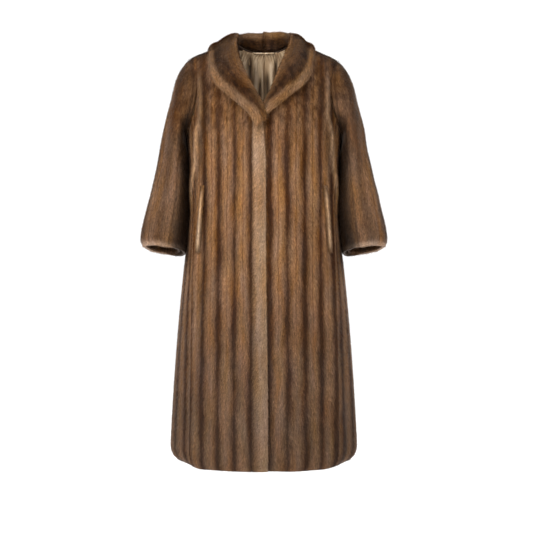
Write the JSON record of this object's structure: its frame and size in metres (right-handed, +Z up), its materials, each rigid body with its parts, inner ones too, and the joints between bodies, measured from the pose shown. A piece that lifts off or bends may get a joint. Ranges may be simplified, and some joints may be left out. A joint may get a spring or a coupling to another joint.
{
  "type": "fur coat",
  "caption": "Full-length fur coat, filled out as worn and hollow, with a wide rolled shawl collar, lapped front and full sleeves.",
  "frame": {"origin": "on the wearer's upright axis, level with the seam at the back of the neck, where the shoulders hold the coat", "axes": "+Z up towards the collar, +X towards the wearer's left arm, -Y out of the front"},
  "size_m": [0.7194, 0.4087, 1.2511],
  "materials": {
    "fur": "dense glossy fur in striped strips",
    "rim_fur": "paler fur along edges",
    "satin": "satin"
  },
  "bodies": {
    "root": {"back": "fur", "front_band": "rim_fur", "lining_back": "satin", "hanging_loop": "satin", "front_left": "fur", "side_left": "fur", "sleeve_left": "fur", "cuff_facing_left": "fur", "collar_left": "fur", "pocket_welt_left": "rim_fur", "front_right": "fur", "side_right": "fur", "sleeve_right": "fur", "cuff_facing_right": "fur", "collar_right": "fur", "pocket_welt_right": "rim_fur"}
  },
  "joints": []
}
